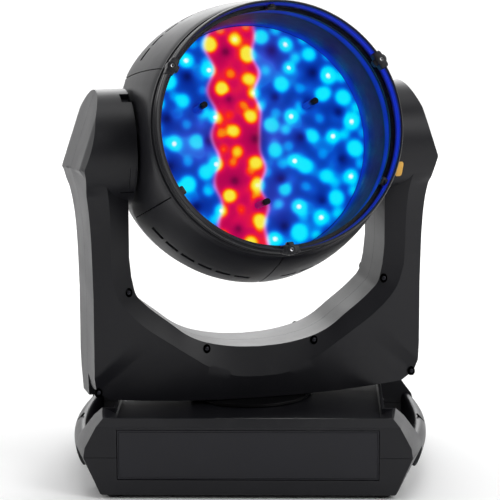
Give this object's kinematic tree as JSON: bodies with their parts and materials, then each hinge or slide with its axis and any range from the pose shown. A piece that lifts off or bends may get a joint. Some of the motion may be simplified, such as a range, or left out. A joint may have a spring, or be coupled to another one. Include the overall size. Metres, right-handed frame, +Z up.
{
  "type": "moving head light",
  "caption": "Stage moving head: low base with side grips, panning U-shaped yoke and tilting round LED head with zooming lens plate.",
  "frame": {"origin": "centre of the underside of the base shell, on the pan axis", "axes": "+Z up along the pan axis, -Y out of the blank front panel of the base, +X to its right"},
  "size_m": [0.4787, 0.3743, 0.6046],
  "materials": {
    "shell": "fine moulded texture, satin black",
    "panel": "fine moulded texture, satin charcoal",
    "black": "smooth moulded black",
    "sheet": "satin grey",
    "steel": "turned",
    "rubber": "matt",
    "board": "solder mask",
    "display": "glossy, unlit",
    "clear": "clear moulded optics",
    "yellow": "moulded, satin"
  },
  "bodies": {
    "base": {"base_lower_shell": "shell", "base_upper_shell": "shell", "base_front_panel": "panel", "base_rear_panel": "sheet", "power_inlet": "black", "data_socket_in": "sheet", "data_socket_out": "sheet", "display_window": "display", "side_handle_left": "shell", "side_handle_right": "shell", "foot_front_left": "rubber", "foot_front_right": "rubber", "foot_rear_left": "rubber", "foot_rear_right": "rubber", "chassis_plate": "sheet", "power_supply": "sheet", "control_board": "board", "pan_motor": "black", "pan_belt": "rubber", "pan_bearing": "steel"},
    "pan_motor_pulley": {"pan_motor_pulley": "sheet"},
    "pan_lock": {"pan_lock_catch": "yellow"},
    "menu_button_1": {"menu_button_1": "black"},
    "menu_button_2": {"menu_button_2": "black"},
    "menu_button_3": {"menu_button_3": "black"},
    "yoke": {"yoke_front_shell": "shell", "yoke_rear_shell": "shell", "yoke_frame": "sheet", "pan_shaft": "steel", "pan_pulley": "sheet", "turntable": "black", "tilt_motor": "black", "tilt_belt": "rubber", "tilt_bearing_left": "steel", "tilt_bearing_right": "steel"},
    "tilt_lock": {"tilt_lock_catch": "yellow"},
    "tilt_motor_pulley": {"tilt_motor_pulley": "sheet"},
    "head": {"head_cover_upper_right": "shell", "head_cover_upper_left": "shell", "head_cover_left": "shell", "head_cover_lower_left": "shell", "head_cover_lower_right": "shell", "head_cover_right": "shell", "head_rear_cover": "shell", "fan_guard": "sheet", "front_ring": "shell", "front_glass": "clear", "well_liner": "black", "led_board": "board", "head_chassis": "sheet", "heat_sink": "sheet", "fan_housing": "black", "trunnion_left": "steel", "trunnion_right": "steel", "tilt_pulley": "sheet"},
    "lens_carriage": {"lens_array": "clear"},
    "zoom_screw_1": {"zoom_screw_1": "steel"},
    "zoom_screw_2": {"zoom_screw_2": "steel"},
    "zoom_screw_3": {"zoom_screw_3": "steel"},
    "fan_rotor": {"fan_rotor": "black"}
  },
  "joints": [
    {"name": "pan", "type": "hinge", "parent": "base", "child": "yoke", "pos_m": [0, 0, 0.088], "axis": [0, 0, 1], "range_deg": [-286.16, 253.84]},
    {"name": "tilt", "type": "hinge", "parent": "yoke", "child": "head", "pos_m": [0, 0, 0.4117], "axis": [0.9605, 0.2783, 0], "range_deg": [-208.5, 59.5]},
    {"name": "pan_motor_spin", "type": "hinge", "parent": "base", "child": "pan_motor_pulley", "pos_m": [0.118, 0, 0.058], "axis": [0, 0, 1], "range_deg": [-1800, 1600]},
    {"name": "tilt_motor_spin", "type": "hinge", "parent": "yoke", "child": "tilt_motor_pulley", "pos_m": [-0.18682, -0.05413, 0.13], "axis": [0.9605, 0.2783, 0], "range_deg": [-800, 230]},
    {"name": "pan_lock_slide", "type": "slide", "parent": "base", "child": "pan_lock", "axis": [0, -1, 0], "range_m": [0, 0.008]},
    {"name": "tilt_lock_slide", "type": "slide", "parent": "yoke", "child": "tilt_lock", "axis": [-0.9605, -0.2783, 0], "range_m": [0, 0.005]},
    {"name": "zoom", "type": "slide", "parent": "head", "child": "lens_carriage", "axis": [0.2683, -0.9258, 0.2664], "range_m": [-0.012, 0.012]},
    {"name": "head_fan_spin", "type": "hinge", "parent": "head", "child": "fan_rotor", "pos_m": [-0.01261, 0.04351, 0.39918], "axis": [0.2683, -0.9258, 0.2664], "continuous": true},
    {"name": "zoom_screw_1_spin", "type": "hinge", "parent": "head", "child": "zoom_screw_1", "pos_m": [0.08126, -0.02529, 0.4672], "axis": [0.2683, -0.9258, 0.2664], "range_deg": [-560, 560]},
    {"name": "zoom_screw_2_spin", "type": "hinge", "parent": "head", "child": "zoom_screw_2", "pos_m": [-0.05515, -0.06482, 0.4672], "axis": [0.2683, -0.9258, 0.2664], "range_deg": [-560, 560]},
    {"name": "zoom_screw_3_spin", "type": "hinge", "parent": "head", "child": "zoom_screw_3", "pos_m": [0.02218, -0.07653, 0.34865], "axis": [0.2683, -0.9258, 0.2664], "range_deg": [-560, 560]},
    {"name": "menu_button_1_press", "type": "slide", "parent": "base", "child": "menu_button_1", "axis": [0, -1, 0], "range_m": [0, 0.0015], "stiffness_N_per_m": 900, "springref_m": -0.0005},
    {"name": "menu_button_2_press", "type": "slide", "parent": "base", "child": "menu_button_2", "axis": [0, -1, 0], "range_m": [0, 0.0015], "stiffness_N_per_m": 900, "springref_m": -0.0005},
    {"name": "menu_button_3_press", "type": "slide", "parent": "base", "child": "menu_button_3", "axis": [0, -1, 0], "range_m": [0, 0.0015], "stiffness_N_per_m": 900, "springref_m": -0.0005}
  ],
  "couplings": [
    {"joint": "pan_motor_spin", "follows": "pan", "ratio": 6.25},
    {"joint": "tilt_motor_spin", "follows": "tilt", "ratio": 3.8},
    {"joint": "zoom_screw_1_spin", "follows": "zoom", "rad_per_m": 785.4},
    {"joint": "zoom_screw_2_spin", "follows": "zoom", "rad_per_m": 785.4},
    {"joint": "zoom_screw_3_spin", "follows": "zoom", "rad_per_m": 785.4}
  ]
}
